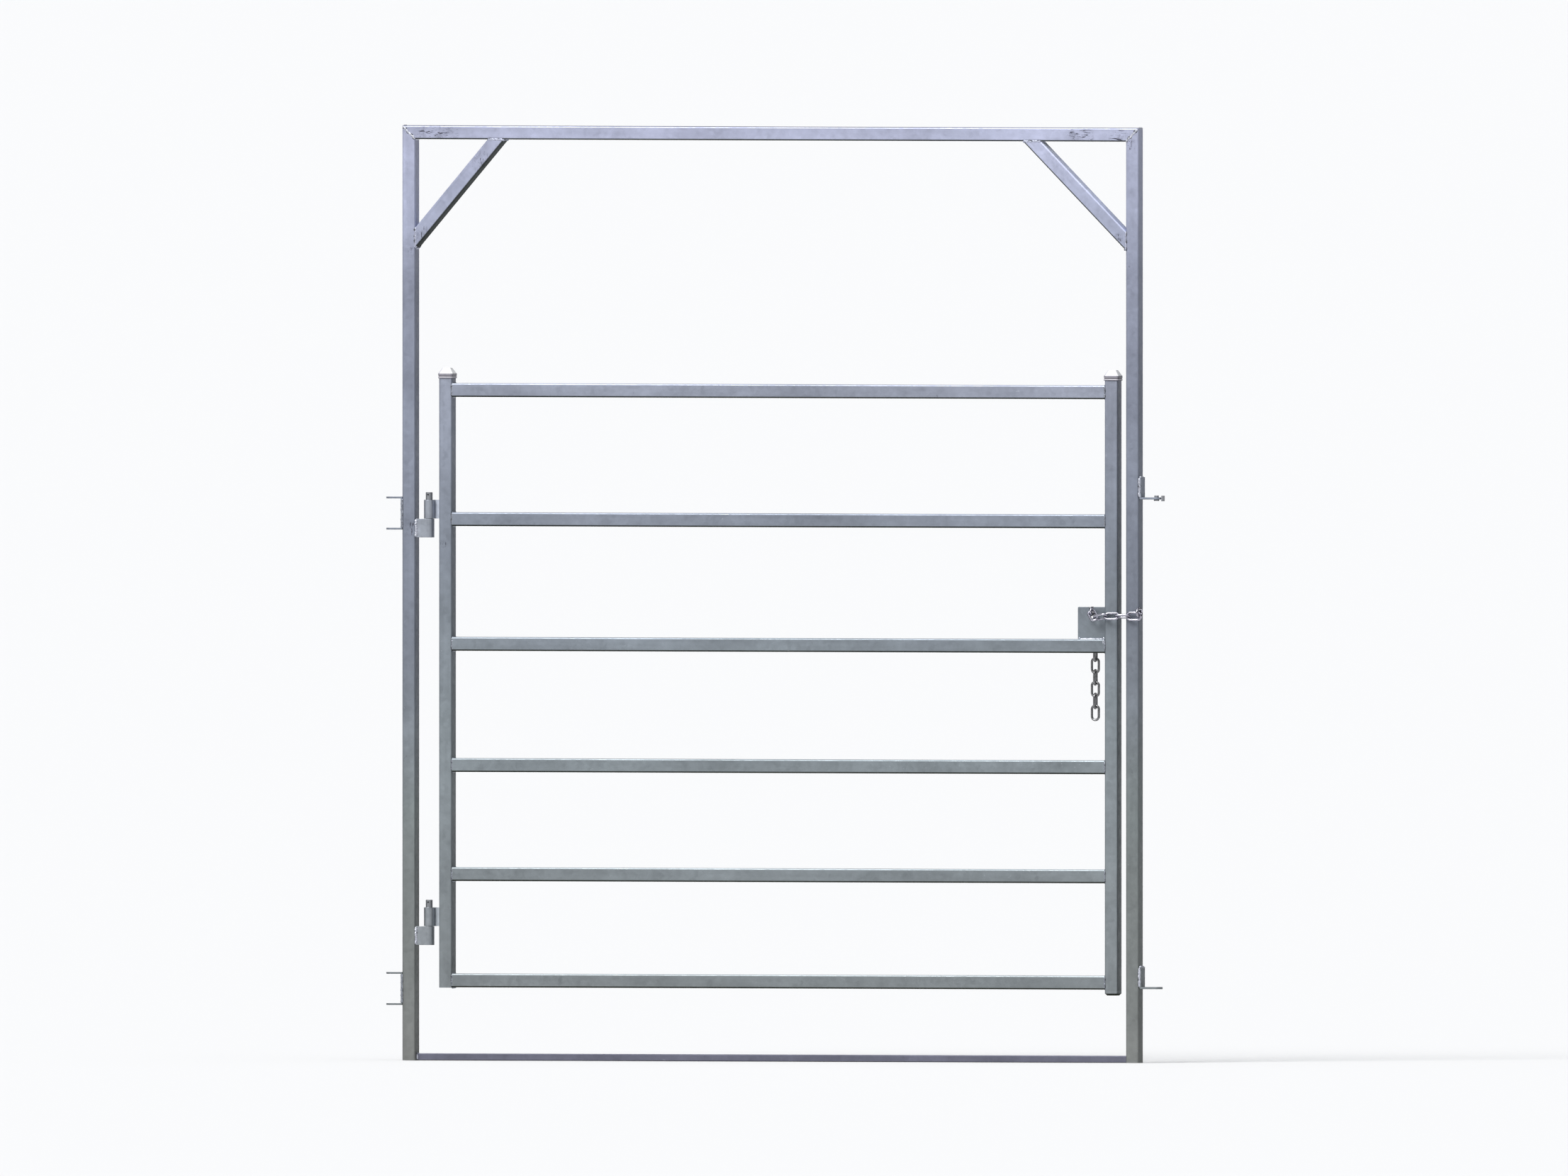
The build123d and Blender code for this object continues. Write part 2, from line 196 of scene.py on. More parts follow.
def zinc(name, along, stops, metallic=0.72, rough=(0.40, 0.58), contrast=1.0, scuffs=1.0, spangle=1.0, top=1.0,
         low_top=None, side=1.0, lift=None, marks=()):
    """Hot-dip zinc: tone by height, cloudy patches, drawing streaks along the bar, spangle and scuffs, with painted
    light and shade by the way a face looks.

    top scales the tone of upward faces, and low_top that of the ones near the ground: painted highlight above 1,
    painted shade below 1; side scales the tone of the faces towards +X as painted shade; lift is (x from, x to, gain)
    of a part painted lighter as painted light; downward faces get painted shade and a painted olive reflection of the
    ground; marks are (x, y, z, radius) where the handling scratches gather."""
    n = Nodes(name)
    place = n.add("ShaderNodeSeparateXYZ")
    n.link(n.coords, place.inputs[0])
    wander = n.noise(n.coords, 1.3, 2.0)
    height = n.math("ADD", n.math("DIVIDE", place.outputs["Z"], 2.7), n.spread(wander, 0.3, 0.7, -0.04, 0.04))
    tone = n.ramp(height, stops)

    turn, stretch = {"x": ((0, 0, 0), (0.045, 1, 1)), "z": ((0, 0, 0), (1, 1, 0.045)),
                     "up": ((0, math.radians(-49), 0), (0.05, 1, 1)),
                     "down": ((0, math.radians(45), 0), (0.05, 1, 1)),
                     "none": ((0, 0, 0), (1, 1, 1))}[along]
    run = n.scaled(stretch, turn)
    streaks = n.noise(run, 95.0, 5.0, 0.6)
    broad = n.noise(run, 22.0, 3.0, 0.5, 0.4)
    clouds = n.noise(run, 9.0, 3.0, 0.55, 0.6)
    drift = n.noise(n.coords, 3.4, 3.0, 0.5, 0.5)
    patches = n.noise(n.scaled((1, 1, 1)), 26.0, 5.0, 0.62, 0.5)
    crystals = n.cells(n.scaled((1, 1, 1)), 95.0)
    grain = n.add("ShaderNodeSeparateColor")
    n.link(crystals, grain.inputs[0])

    light = 1.0
    for value, low, high, swing in (                   # each layer lightens and darkens the skin by its swing
            (clouds, 0.30, 0.72, 0.07 * contrast), (drift, 0.34, 0.66, 0.11 * contrast),
            (broad, 0.3, 0.7, 0.06 * contrast), (streaks, 0.25, 0.75, 0.045 * contrast),
            (patches, 0.3, 0.7, 0.035 * contrast), (grain.outputs[0], 0, 1, 0.035 * spangle)):
        light = n.math("MULTIPLY", light, n.spread(value, low, high, 1 - swing, 1 + swing))
    facing = n.facing()
    # painted highlight and painted shade: upward faces are scaled by top, and near the ground by low_top
    if low_top is not None:
        top = n.spread(place.outputs["Z"], 0.5, 1.0, low_top, top)
    upper = n.spread(facing, 0.3, 0.8)
    light = n.math("MULTIPLY", light, n.math("ADD", n.math("MULTIPLY", upper, n.math("SUBTRACT", top, 1.0)), 1.0))
    light = n.math("MULTIPLY", light, ZINC_TONE)
    # painted shade: faces towards +X are darkened by side
    if side != 1.0:
        light = n.math("MULTIPLY", light, n.spread(n.facing("X"), 0.35, 0.85, 1.0, side))
    # painted light: the part between lift's x bounds is lightened
    if lift is not None:
        light = n.math("MULTIPLY", light, n.spread(place.outputs["X"], lift[0], lift[1], 1.0, lift[2]))
    shade = n.add("ShaderNodeCombineColor")
    for channel in shade.inputs:
        n.link(light, channel)
    colour = n.mix(1.0, tone, shade.outputs[0], "MULTIPLY")

    flecks = n.noise(n.scaled((1.0, 1.0, 0.55)), 34.0, 6.0, 0.72, 1.4)
    where = n.noise(n.coords, 3.1, 1.0)
    mask = n.math("MULTIPLY", n.spread(flecks, 0.665, 0.70), n.spread(where, 0.52, 0.60))
    colour = n.mix(n.math("MULTIPLY", mask, 0.55 * scuffs), colour, srgb(60, 62, 68))
    if marks:
        lie = (0.20, 1, 1) if along == "x" else (1, 1, 0.22)
        colour = n.mix(n.scratches(marks, lie), colour, srgb(52, 50, 62))
    pale = n.noise(n.scaled((1.3, 1.3, 1.3)), 41.0, 5.0, 0.66, 1.0)
    colour = n.mix(n.math("MULTIPLY", n.spread(pale, 0.66, 0.73), 0.22), colour, srgb(196, 200, 208))
    # painted shade and painted reflection of the ground: downward faces are darkened and tinted olive
    under = n.spread(facing, -0.03, -0.32)
    colour = n.mix(under, colour, n.mix(1.0, colour, PAINTED_UNDER_SHADE, "MULTIPLY"))
    n.link(colour, n.shader.inputs["Base Color"])

    gloss = n.spread(patches, 0.25, 0.75, rough[0], rough[1])
    gloss = n.math("ADD", gloss, n.spread(grain.outputs[1], 0, 1, -0.05, 0.05))
    gloss = n.math("ADD", gloss, n.math("MULTIPLY", under, 0.45))      # undersides are dull as well as painted dark
    n.link(gloss, n.shader.inputs["Roughness"])
    n.shader.inputs["Metallic"].default_value = metallic
    fine = n.noise(n.coords, 420.0, 3.0, 0.6)
    bumps = n.bump(fine, 0.25, 0.0002)
    bumps = n.bump(patches, 0.30, 0.0005, bumps)
    bumps = n.bump(streaks, 0.20, 0.0003, bumps)
    n.link(bumps, n.shader.inputs["Normal"])
    return n.material


def cast_cap(name):
    """Cast zinc cap: pale crown over a mid-grey grooved rim, the crown painted lighter as painted light from above,
    dark lines in the grooves as painted shade and the crown's +X side painted white as painted light.
    """
    low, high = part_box("latch_stile_cap")
    n = Nodes(name)
    place = n.add("ShaderNodeSeparateXYZ")
    n.link(n.coords, place.inputs[0])
    level = n.spread(place.outputs["Z"], low.z, high.z)
    dark, mid, pale = srgb(70, 66, 78), srgb(140, 138, 146), srgb(196, 194, 200)
    # painted light and shade: the pale crown and the pale rim band stand for light from above, the dark bands at the
    # grooves and under the crown are painted shade
    tone = n.ramp(level, [(0.0, mid), (0.405, dark), (0.430, dark), (0.440, pale), (0.495, pale), (0.505, dark),
                          (0.555, dark), (0.565, mid), (0.615, mid), (0.630, dark), (0.660, dark),
                          (0.672, srgb(190, 190, 198)), (1.0, srgb(200, 200, 208))])
    patches = n.noise(n.coords, 70.0, 5.0, 0.62, 0.6)
    fine = n.noise(n.coords, 420.0, 3.0, 0.6)
    stain = n.noise(n.coords, 46.0, 4.0, 0.6, 0.8)
    tone = n.mix(n.spread(stain, 0.50, 0.70, 0.0, 0.45), tone, mid)
    # painted light: the crown's faces towards +X are painted white
    crown_side_painted_light = n.math("MULTIPLY", n.spread(n.facing("X"), 0.2, 0.6), n.spread(level, 0.66, 0.68))
    tone = n.mix(crown_side_painted_light, tone, (1.0, 1.0, 1.0))
    n.link(n.mix(n.spread(patches, 0.35, 0.7, 0.0, 0.22), tone, mid), n.shader.inputs["Base Color"])
    n.link(n.spread(patches, 0.3, 0.7, 0.30, 0.46), n.shader.inputs["Roughness"])
    n.shader.inputs["Metallic"].default_value = 0.3
    n.link(n.bump(patches, 0.35, 0.0005, n.bump(fine, 0.25, 0.0002)), n.shader.inputs["Normal"])
    return n.material


def plated(name, base, dark, rough, metallic=0.95, wear_and_reflection=0.5):
    """Zinc-plated round bar: bright, slightly uneven, with dull dark patches that are partly rubbed wear and partly
    painted reflection of dark surroundings.
    """
    n = Nodes(name)
    patches = n.noise(n.coords, 190.0, 5.0, 0.6, 0.4)
    fine = n.noise(n.coords, 900.0, 3.0, 0.6)
    # dark patches: rubbed wear and painted dark reflection
    colour = n.mix(n.math("MULTIPLY", n.spread(patches, 0.45, 0.68), wear_and_reflection), base, dark)
    colour = n.mix(n.spread(fine, 0.4, 0.8, 0.0, 0.25), colour, dark)
    n.link(colour, n.shader.inputs["Base Color"])
    n.link(n.spread(patches, 0.3, 0.7, rough[0], rough[1]), n.shader.inputs["Roughness"])
    n.shader.inputs["Metallic"].default_value = metallic
    n.link(n.bump(patches, 0.35, 0.0004, n.bump(fine, 0.2, 0.0001)), n.shader.inputs["Normal"])
    return n.material


def plain(name, base, other, rough, metallic, scale=300.0, specks=0.0):
    """One tone broken up by fine noise and dark specks, for weld metal and flux marks."""
    n = Nodes(name)
    fine = n.noise(n.coords, scale, 5.0, 0.62, 0.3)
    colour = n.mix(n.spread(fine, 0.35, 0.68), base, other)
    if specks:
        pits = n.spread(n.noise(n.coords, 240.0, 2.0, 0.5), 0.60, 0.66, 0.0, specks)
        colour = n.mix(pits, colour, srgb(40, 40, 46))
    n.link(colour, n.shader.inputs["Base Color"])
    n.link(n.spread(fine, 0.3, 0.7, rough[0], rough[1]), n.shader.inputs["Roughness"])
    n.shader.inputs["Metallic"].default_value = metallic
    n.link(n.bump(fine, 0.35, 0.0004), n.shader.inputs["Normal"])
    return n.material


# tone against height: 0 is the ground, 1 the top of the frame
TONES = [(0.0, srgb(124, 126, 124)), (0.26, srgb(120, 127, 128)), (0.45, srgb(126, 132, 144)),
         (0.67, srgb(135, 141, 156)), (0.82, srgb(139, 144, 161)), (0.93, srgb(168, 173, 195)),
         (1.0, srgb(176, 180, 203))]
GATE_TONES = [(0.0, srgb(122, 127, 129)), (0.20, srgb(129, 136, 140)), (0.37, srgb(128, 136, 141)),
              (0.55, srgb(131, 138, 149)), (0.66, srgb(142, 148, 162)), (0.75, srgb(152, 157, 172))]
# partly painted light: the hinge eyes are toned lighter than the tubes, standing in for light on the barrels' shaded
# side
EYE_TONES = [(0.0, srgb(138, 143, 147)), (0.4, srgb(144, 150, 157)), (0.75, srgb(168, 173, 185))]
EYE_SKIN = {"rough": (0.30, 0.48), "contrast": 1.8, "scuffs": 1.2, "spangle": 1.5}

# where the handling scratches gather: x, y, z and radius in metres
TOP_MARKS = [(-1.035, -0.02, 2.681, 0.055), (-0.985, -0.02, 2.684, 0.04), (0.930, -0.02, 2.682, 0.030),
             (0.966, -0.02, 2.678, 0.026), (1.065, -0.02, 2.668, 0.036)]
POST_MARKS = [(-1.093, -0.02, 1.540, 0.030), (1.097, -0.02, 2.652, 0.022), (-1.094, -0.02, 2.335, 0.016)]
# side paints the +X faces of posts and stiles darker as painted shade; top and low_top paint upward faces lighter as
# painted highlight (braces, rails) or darker as painted shade (top rail, sill)
tube_z = zinc("zinc_upright_tube", "z", TONES, side=0.90, marks=POST_MARKS)
tube_x = zinc("zinc_cross_tube", "x", TONES, top=0.55, marks=TOP_MARKS)
tube_up = zinc("zinc_left_brace", "up", TONES, top=2.3,
               marks=[(-0.884, -0.02, 2.596, 0.034), (-1.052, -0.02, 2.378, 0.034), (-0.868, -0.02, 2.570, 0.026)])
tube_down = zinc("zinc_right_brace", "down", TONES, top=2.3, marks=[(1.060, -0.02, 2.380, 0.018)])
gate_z = zinc("zinc_stile", "z", GATE_TONES, side=0.76, marks=[(-0.999, -0.02, 1.490, 0.018)])
gate_x = zinc("zinc_rail", "x", GATE_TONES, top=1.5, low_top=2.3)
sill_zinc = zinc("zinc_sill", "x", [(0, srgb(106, 107, 122)), (1, srgb(112, 113, 128))], top=0.6)
bar = zinc("zinc_flat_bar", "none", GATE_TONES, contrast=0.8, scuffs=0.6)
cap_zinc = cast_cap("zinc_cast_cap")
pin = zinc("zinc_pin", "z", [(0, srgb(140, 143, 146)), (1, srgb(160, 162, 168))], rough=(0.3, 0.42), contrast=0.9)
eye = zinc("zinc_hinge_eye", "z", EYE_TONES, **EYE_SKIN)
gate_eye = zinc("zinc_gate_eye", "z", EYE_TONES, lift=(-1.040, -1.030, 1.7), **EYE_SKIN)      # lighter strap: painted light against the barrel's shadow
chain_new = plated("zinc_chain_run", srgb(178, 177, 188), srgb(60, 57, 70), (0.20, 0.32), 1.0, 0.55)
chain_old = plated("zinc_chain_tail", srgb(148, 148, 149), srgb(50, 50, 50), (0.24, 0.36), 1.0, 0.7)
weld = plain("weld_zinc", srgb(206, 208, 218), srgb(150, 154, 166), (0.28, 0.44), 0.6, 260.0,
             specks=0.9)
# dark strips along the beads: flux residue and painted shade at the beads' feet
flux_and_shade = plain("weld_shadow", srgb(46, 47, 52), srgb(86, 88, 94), (0.6, 0.8), 0.2, 420.0)
weld_dull = plain("weld_dull", srgb(150, 154, 164), srgb(108, 112, 120), (0.36, 0.52), 0.65, 260.0, specks=0.7)
weld_soft = plain("weld_soft", srgb(180, 183, 200), srgb(140, 144, 160), (0.34, 0.50), 0.65, 260.0, specks=0.6)
drip = plain("zinc_run", srgb(190, 193, 202), srgb(150, 155, 163), (0.28, 0.42), 0.75, 150.0)

LOOKS = {
    "left_post": tube_z, "right_post": tube_z, "top_rail": tube_x, "ground_sill": sill_zinc,
    "left_brace": tube_up, "right_brace": tube_down, "hinge_stile": gate_z, "latch_stile": gate_z,
    "hinge_stile_cap": cap_zinc, "latch_stile_cap": cap_zinc, "latch_stile_foot_cap": bar,
    "upper_hinge_pin": pin, "lower_hinge_pin": pin, "lug_stud": pin, "lug_stop": pin,
    "chain_anchor_link": chain_new, "slot_link": chain_new,
}


def look_of(name):
    if name in LOOKS:
        return LOOKS[name]
    if name.startswith("gate_rail"):
        return gate_x
    if name.endswith("gate_hinge_eye"):
        return gate_eye
    if name.endswith("hinge_eye"):
        return eye
    if name.startswith("chain_link"):
        return chain_new
    if name.startswith("tail_link"):
        return chain_old
    return bar


for name, obj in nodes.items():
    obj.data.materials.clear()
    obj.data.materials.append(look_of(name))


# ------------------------------------------------------------------ weld metal
def new_piece(name, mesh, body, materials):
    data = bpy.data.meshes.new(name)
    mesh.normal_update()
    mesh.to_mesh(data)
    mesh.free()
    for material in materials:
        data.materials.append(material)
    for face in data.polygons:
        face.use_smooth = True
    obj = bpy.data.objects.new(name, data)
    bpy.context.scene.collection.objects.link(obj)
    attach(obj, body)
    return obj


RING_STEP = 0.0010                 # distance between two rings of a bead's mesh
RING_POINTS = 10
SWELLS = 12                        # how many times a bead's line and width change along it


def bead_into(mesh, start, end, out, width, height, seed, ripple=0.0038, wander=0.0006, sink=0.15, dark=True):
    """A weld bead from start to end: overlapping ripples on a half-oval section, with rounded ends.

    out is the way the bead stands up; width is its full width and height how far it stands proud. ripple is
    the length of one ripple, wander how far the line strays, and sink how much of the height is buried.
    All lengths are in metres."""
    rng = random.Random(seed)
    start, end, out = Vector(start), Vector(end), Vector(out).normalized()
    run = end - start
    length = run.length
    along = run / length
    side = along.cross(out).normalized()
    steps = max(8, int(length / RING_STEP))
    phase = rng.uniform(0, 1)
    drift = [rng.uniform(-1, 1) for _ in range(SWELLS)]
    swell = [rng.uniform(0.82, 1.18) for _ in range(SWELLS)]

    def smooth(values, t):
        at = t * (len(values) - 1)
        i = min(int(at), len(values) - 2)
        f = at - i
        f = f * f * (3 - 2 * f)
        return values[i] * (1 - f) + values[i + 1] * f

    rings = []
    for k in range(steps + 1):
        t = k / steps
        d = t * length
        cycle = (d / ripple + phase) % 1.0
        puff = 0.86 + 0.22 * math.sqrt(max(0.0, 1 - (2 * cycle - 1) ** 2))
        edge = min(d, length - d) / (width * 0.55)
        cap = math.sqrt(max(0.0, 1 - (1 - min(1.0, edge)) ** 2))
        w = width / 2 * puff * smooth(swell, t) * max(cap, 0.05)
        h = height * puff * smooth(swell, 1 - t) * max(cap, 0.05)
        centre = start + along * d + side * (wander * smooth(drift, t)) - out * (height * sink)
        ring = []
        for j in range(RING_POINTS):
            angle = 2 * math.pi * j / RING_POINTS
            lift = math.sin(angle)
            point = centre + side * (math.cos(angle) * w) + out * (lift * h if lift > 0 else lift * h * 0.5)
            ring.append(mesh.verts.new(point))
        rings.append(ring)
    for a, b in zip(rings, rings[1:]):
        for j in range(RING_POINTS):
            mesh.faces.new((a[j], a[(j + 1) % RING_POINTS], b[(j + 1) % RING_POINTS], b[j]))
    mesh.faces.new(rings[0])
    mesh.faces.new(list(reversed(rings[-1])))
    # dark strips along the edges: flux residue and painted shade
    if dark:
        flux_and_shade_into(mesh, start, end, out, side, width, rng)


FLUX_AND_SHADE_REACH = 0.0026                # how far the dark skin of flux and painted shade shows beyond the bead
FLUX_AND_SHADE_SKIN = 0.0004                 # half its thickness
FLUX_AND_SHADE_STEP = 0.0015                 # length of its mesh's cells


def flux_and_shade_into(mesh, start, end, out, side, width, rng):
    """Thin dark skin of flux residue and painted shade that shows in broken lengths along both edges of a bead."""
    run = end - start
    length = run.length
    along = run / length
    for sign in (-1, 1):
        d = rng.uniform(0.0, 0.006)
        while d < length - 0.003:
            span = min(rng.uniform(0.004, 0.016), length - d)
            count = max(3, int(span / FLUX_AND_SHADE_STEP))
            inner, outer, top_in, top_out = [], [], [], []
            for k in range(count + 1):
                t = k / count
                bulge = math.sin(math.pi * t) * rng.uniform(0.7, 1.1)
                base = start + along * (d + span * t)
                near = base + side * (sign * width * 0.34)
                far = base + side * (sign * (width * 0.46 + FLUX_AND_SHADE_REACH * bulge))
                inner.append(mesh.verts.new(near - out * FLUX_AND_SHADE_SKIN))
                outer.append(mesh.verts.new(far - out * FLUX_AND_SHADE_SKIN))
                top_in.append(mesh.verts.new(near + out * FLUX_AND_SHADE_SKIN))
                top_out.append(mesh.verts.new(far + out * 0.00025))
            loops = (inner, outer, top_out, top_in)
            for k in range(count):
                for j in range(4):
                    a, b = loops[j], loops[(j + 1) % 4]
                    face = mesh.faces.new((a[k], b[k], b[k + 1], a[k + 1]))
                    face.material_index = 1
            for k in (0, count):
                quad = [loop[k] for loop in loops]
                face = mesh.faces.new(quad if k else list(reversed(quad)))
                face.material_index = 1
            d += span + rng.uniform(0.003, 0.016)


def weld_piece(name, body, beads, metal=None):
    """One object from several beads: (start, end, out, width, height) or the same with options."""
    mesh = bmesh.new()
    for i, (start, end, out, width, height, *more) in enumerate(beads):
        options = more[0] if more else {}
        bead_into(mesh, start, end, out, width, height, f"{name}{i}", **options)
    bmesh.ops.recalc_face_normals(mesh, faces=mesh.faces)
    return new_piece(name, mesh, body, [metal or weld, flux_and_shade])


def blob_into(mesh, centre, radii, seed, rough=0.12):
    """A lumpy drop of zinc."""
    rng = random.Random(seed)
    made = bmesh.ops.create_icosphere(mesh, subdivisions=3, radius=1.0)["verts"]
    lumps = [(Vector((rng.gauss(0, 1), rng.gauss(0, 1), rng.gauss(0, 1))).normalized(), rng.uniform(-1, 1))
             for _ in range(7)]
    for v in made:
        n = v.co.normalized()
        swell = 1 + rough * sum(s * max(0.0, n.dot(d)) ** 3 for d, s in lumps)
        v.co = Vector(centre) + Vector((n.x * radii[0], n.y * radii[1], n.z * radii[2])) * swell


def blob_piece(name, body, blobs):
    mesh = bmesh.new()
    for i, (centre, radii) in enumerate(blobs):
        blob_into(mesh, centre, radii, f"{name}{i}")
    return new_piece(name, mesh, body, [drip])


TUBE_CORNER = 0.005               # outer corner radius of the square tube
STRAP = 0.005                     # thickness of the hinge eyes' flat bar
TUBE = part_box("top_rail")[1].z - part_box("top_rail")[0].z
FRONT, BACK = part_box("top_rail")[0].y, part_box("top_rail")[1].y
FLAT = TUBE / 2 - TUBE_CORNER     # half width of the flat part of a tube's face


def mitre_welds():
    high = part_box("top_rail")[1]
    for side in (-1, 1):
        outer = Vector((side * high.x, 0, high.z))
        inner = Vector((side * (high.x - TUBE), 0, high.z - TUBE))
        step = (inner - outer).normalized() * 0.004
        a, b = outer + step, inner - step * 0.2
        f, k = Vector((0, FRONT, 0)), Vector((0, BACK, 0))
        beads = [(a + f, b + f, (0, -1, 0), 0.0058, 0.0016, {"wander": 0.0012}),
                 (a + k, b + k, (0, 1, 0), 0.0058, 0.0016, {"wander": 0.0012})]
        out = Vector((side, 0, 1))
        across = Vector((0, FLAT, 0))
        beads.append((outer - out * 0.0012 - across, outer - out * 0.0012 + across, out, 0.0065, 0.0012,
                      {"dark": False}))
        back_in = Vector((-side, 0, -1))
        beads.append((inner - across, inner + across, back_in, 0.008, 0.0028, {"dark": False}))
        weld_piece("weld_mitre_left" if side < 0 else "weld_mitre_right", "frame", beads)


def brace_welds():
    for side, node in ((-1, "left_brace"), (1, "right_brace")):
        low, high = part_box(node)
        face = side * (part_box("right_post")[0].x)          # the post's inner face
        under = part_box("top_rail")[0].z
        drop, reach = under - low.z, high.x - low.x          # outer edge, down the post and along the rail
        inner = 1 - TUBE * math.hypot(drop, reach) / (drop * reach)
        short_drop, short_reach = drop * inner, reach * inner
        beads = []
        for y, out in ((FRONT + 0.0015, (0, -1, 0)), (BACK - 0.0015, (0, 1, 0))):
            x = face - side * 0.0012
            beads.append(((x, y, under - short_drop), (x, y, under - drop), (-side * 0.6, out[1], 0), 0.0085,
                          0.0030, {"sink": 0.3}))
            z = under - 0.0012
            beads.append(((face - side * short_reach, y, z), (face - side * reach, y, z), (0, out[1], -0.6),
                          0.0085, 0.0030, {"sink": 0.3}))
        for down, along, tilt in ((short_drop, short_reach, 1), (drop, reach, -1)):
            p = Vector((face, 0, under - down))
            across = Vector((0, FLAT, 0))
            beads.append((p - across, p + across, (-side, 0, tilt * 0.9), 0.007, 0.0026, {"dark": False}))
            q = Vector((face - side * along, 0, under))
            beads.append((q - across, q + across, (side * tilt * 0.9, 0, -1), 0.007, 0.0026, {"dark": False}))
        weld_piece("weld_" + node, "frame", beads, metal=weld_soft)


def rail_welds():
    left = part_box("hinge_stile")[1].x
    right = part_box("latch_stile")[0].x
    for number in range(1, 7):
        low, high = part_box(f"gate_rail_{number}")
        beads = []
        for x, way in ((left, 1), (right, -1)):
            for y, out in ((FRONT + 0.0015, -1), (BACK - 0.0015, 1)):
                beads.append(((x + way * 0.001, y, high.z - 0.003), (x + way * 0.001, y, low.z + 0.003),
                              (way * 0.6, out, 0), 0.0062, 0.0022, {"sink": 0.3}))
            for z, out in ((high.z, 1), (low.z, -1)):
                beads.append(((x, -FLAT, z), (x, FLAT, z), (way, 0, out), 0.0070, 0.0026, {"dark": False}))
        weld_piece(f"weld_rail_{number}", "gate", beads, metal=weld_dull)


def hinge_welds():
    for level in ("lower", "upper"):
        low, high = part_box(f"{level}_post_hinge_eye")
        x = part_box("left_post")[1].x
        front = low.y
        beads = [((x + 0.0005, front, low.z + 0.001), (x + 0.0005, front, high.z - 0.001), (0.4, -1, 0), 0.0105,
                  0.0040, {"sink": 0.2, "wander": 0.0010}),
                 ((x + 0.0005, front + STRAP, low.z + 0.004), (x + 0.0005, front + STRAP, high.z - 0.004),
                  (0.7, 1, 0), 0.006, 0.0022, {"dark": False})]
        weld_piece(f"weld_{level}_post_eye", "frame", beads)
        low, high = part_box(f"{level}_gate_hinge_eye")
        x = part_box("hinge_stile")[0].x
        back = high.y
        beads = [((x - 0.0005, back, low.z + 0.002), (x - 0.0005, back, high.z - 0.002), (-0.5, 1, 0), 0.0085,
                  0.0034, {"sink": 0.25}),
                 ((x - 0.0005, back - STRAP, low.z + 0.003), (x - 0.0005, back - STRAP, high.z - 0.003),
                  (-0.7, -1, 0), 0.007, 0.0028, {})]
        weld_piece(f"weld_{level}_gate_eye", "gate", beads, weld_dull)


def bracket_welds():
    for level in ("lower", "upper"):
        low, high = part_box(f"{level}_left_bracket")
        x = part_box("left_post")[0].x
        beads = []
        for y, out in ((low.y, -1), (high.y, 1)):
            beads.append(((x - 0.0015, y, low.z + 0.006), (x - 0.0015, y, high.z - 0.006), (-0.55, out, 0), 0.0072,
                          0.0026, {"sink": 0.3}))
        weld_piece(f"weld_{level}_bracket", "frame", beads, weld_dull)
        low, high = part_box(f"{level}_right_lug")
        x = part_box("right_post")[1].x
        beads = []
        for y, out in ((low.y, -1), (high.y, 1)):
            beads.append(((x + 0.0015, y, low.z + 0.006), (x + 0.0015, y, high.z - 0.002), (0.55, out, 0), 0.0078,
                          0.0030, {"sink": 0.3}))
        beads.append(((x + 0.002, -FLAT, high.z), (x + 0.002, FLAT, high.z), (0.5, 0, 1), 0.0090, 0.0034,
                      {"dark": False}))
        weld_piece(f"weld_{level}_lug", "frame", beads)


def latch_welds():
    low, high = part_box("latch_plate")
    right = high.x
    z = low.z
    beads = [((low.x + 0.002, low.y, z), (right - 0.002, low.y, z), (0, -1, 1), 0.0110, 0.0042, {"sink": 0.25}),
             ((low.x + 0.004, high.y, z), (right - 0.004, high.y, z), (0, 1, 1), 0.0085, 0.0030,
              {"sink": 0.25, "dark": False}),
             ((right, low.y, z + 0.002), (right, low.y, z + 0.030), (-1, -1, 0), 0.0070, 0.0026, {"sink": 0.25}),
             ((right, low.y, high.z - 0.030), (right, low.y, high.z - 0.003), (-1, -1, 0), 0.0065, 0.0024,
              {"sink": 0.25, "dark": False}),
             ((right, high.y, z + 0.004), (right, high.y, high.z - 0.004), (-1, 1, 0), 0.0065, 0.0024,
              {"sink": 0.25, "dark": False})]
    weld_piece("weld_latch_plate", "gate", beads)
    blob_piece("latch_plate_run", "gate", [
        ((right - 0.006, low.y - 0.0045, z + 0.001), (0.0045, 0.0035, 0.0055)),
        ((right - 0.004, FRONT + 0.0004, z - 0.007), (0.0028, 0.0014, 0.0060)),
        ((low.x + 0.006, low.y - 0.0030, z + 0.002), (0.0036, 0.0028, 0.0034)),
    ])


def sill_welds():
    low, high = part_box("ground_sill")
    for side, x in ((-1, low.x), (1, high.x)):
        way = -side
        beads = [((x + way * 0.001, low.y, low.z + 0.002), (x + way * 0.001, low.y, high.z - 0.002),
                  (way * 0.7, -1, 0), 0.0065, 0.0024, {"sink": 0.25}),
                 ((x + way * 0.001, high.y - 0.001, low.z + 0.002), (x + way * 0.001, high.y - 0.001, high.z - 0.002),
                  (way * 0.7, 1, 0), 0.0055, 0.0018, {"sink": 0.3, "dark": False}),
                 ((x, low.y + 0.003, high.z), (x, high.y - 0.003, high.z), (way, 0, 1), 0.0065, 0.0024,
                  {"dark": False})]
        weld_piece("weld_sill_left" if side < 0 else "weld_sill_right", "frame", beads)


def anchor_welds():
    low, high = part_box("chain_anchor_link")
    x = low.x
    wire = high.x - low.x
    beads = []
    y = max(low.y + 0.014, FRONT + 0.006)
    for z in (low.z + wire / 2, high.z - wire / 2):
        for up in (-1, 1):
            beads.append(((x + 0.0006, y, z + up * wire * 0.42), (x + 0.0006, high.y - 0.014, z + up * wire * 0.42),
                          (0.8, 0, up), 0.0060, 0.0026, {"sink": 0.2, "dark": False}))
    weld_piece("weld_chain_anchor", "frame", beads)


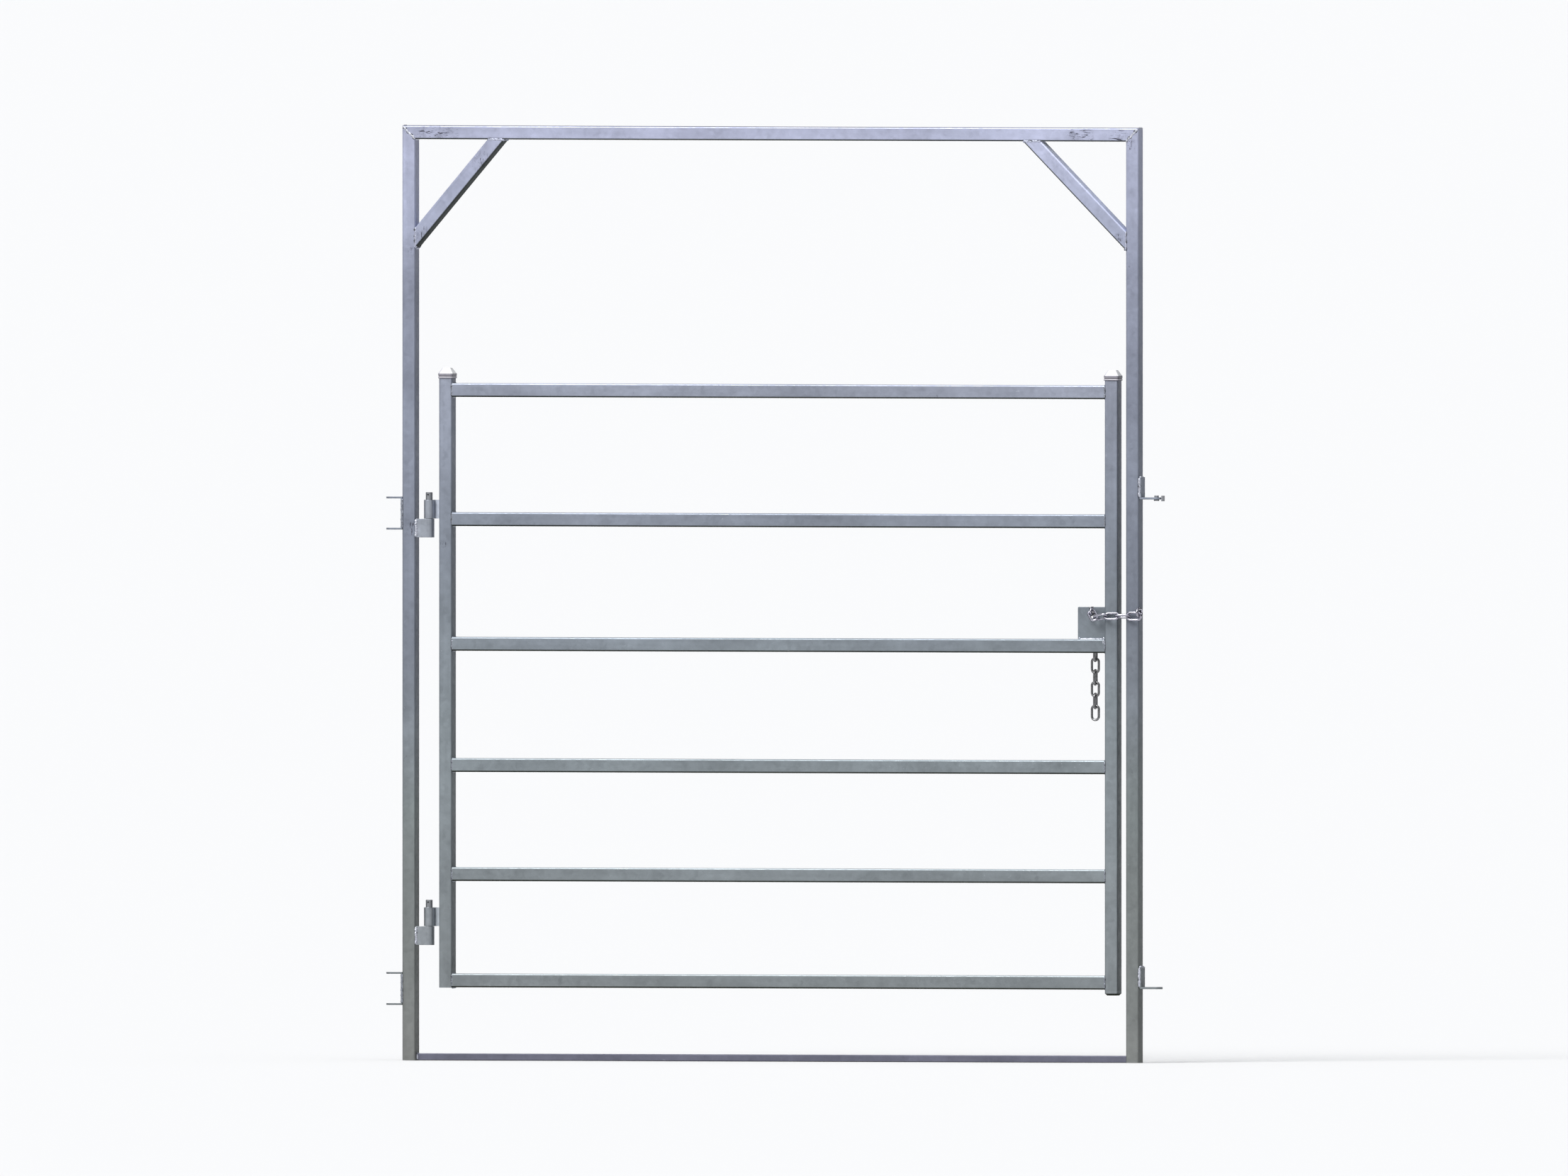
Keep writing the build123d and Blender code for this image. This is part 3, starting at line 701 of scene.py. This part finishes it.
make_camera()
mitre_welds()
brace_welds()
rail_welds()
hinge_welds()
bracket_welds()
latch_welds()
sill_welds()
anchor_welds()


# ------------------------------------------------------------------ floor and light
FLOOR_TONE = 0.64
FLOOR_REACH = 600.0                  # the floor runs out of sight all round
FLOOR_GAP = 0.0005                   # keeps the floor clear of the posts' feet
SKY_TILT = (-0.15, -0.25, 0.957)     # the brightest part of the sky, a little in front and to the left


def make_stage():
    mesh = bpy.data.meshes.new("floor")
    corners = [(x * FLOOR_REACH, y * FLOOR_REACH, 0) for x, y in ((-1, -1), (1, -1), (1, 1), (-1, 1))]
    mesh.from_pydata(corners, [], [(0, 1, 2, 3)])
    floor = bpy.data.objects.new("floor", mesh)
    bpy.context.scene.collection.objects.link(floor)
    n = Nodes("floor")
    n.shader.inputs["Base Color"].default_value = (FLOOR_TONE, FLOOR_TONE, FLOOR_TONE, 1)
    n.shader.inputs["Roughness"].default_value = 0.9
    mesh.materials.append(n.material)
    floor.location.z = -FLOOR_GAP

    world = bpy.data.worlds.new("world")
    bpy.context.scene.world = world
    world.use_nodes = True
    tree = world.node_tree
    back = tree.nodes["Background"]
    coords = tree.nodes.new("ShaderNodeTexCoord")
    upward = tree.nodes.new("ShaderNodeVectorMath")
    upward.operation = "DOT_PRODUCT"
    upward.inputs[1].default_value = SKY_TILT
    tree.links.new(coords.outputs["Generated"], upward.inputs[0])
    ramp = tree.nodes.new("ShaderNodeValToRGB")
    tree.links.new(upward.outputs["Value"], ramp.inputs["Fac"])
    band = ramp.color_ramp
    band.elements[0].position = 0.30
    band.elements[0].color = (0.13, 0.135, 0.14, 1)
    band.elements[1].position = 1.0
    band.elements[1].color = (0.95, 0.97, 1.0, 1)
    tree.links.new(ramp.outputs["Color"], back.inputs["Color"])
    back.inputs["Strength"].default_value = 1.0
    backdrop = tree.nodes.new("ShaderNodeBackground")
    backdrop.inputs["Color"].default_value = (0.97, 0.97, 0.97, 1)
    seen = tree.nodes.new("ShaderNodeLightPath")
    choose = tree.nodes.new("ShaderNodeMixShader")
    tree.links.new(seen.outputs["Is Camera Ray"], choose.inputs[0])
    tree.links.new(back.outputs[0], choose.inputs[1])
    tree.links.new(backdrop.outputs[0], choose.inputs[2])
    tree.links.new(choose.outputs[0], tree.nodes["World Output"].inputs["Surface"])


def sun_light(name, azimuth, elevation, strength, spread, colour=(1, 1, 1)):
    """A broad, soft light from far away. Azimuth 0 is straight in front, positive towards +X."""
    data = bpy.data.lights.new(name, "SUN")
    data.energy = strength
    data.angle = math.radians(spread)
    data.color = colour
    lamp = bpy.data.objects.new(name, data)
    a, e = math.radians(azimuth), math.radians(elevation)
    back = Vector((math.sin(a) * math.cos(e), -math.cos(a) * math.cos(e), math.sin(e)))
    lamp.location = back * 20
    lamp.rotation_mode = "QUATERNION"
    lamp.rotation_quaternion = (-back).to_track_quat("-Z", "Y")
    bpy.context.scene.collection.objects.link(lamp)


make_stage()
sun_light("key", -16, 44, 3.5, 32, (1.0, 0.995, 0.99))
sun_light("overhead", 30, 76, 0.8, 50, (0.96, 0.97, 1.0))
bpy.context.scene.view_settings.view_transform = "Standard"
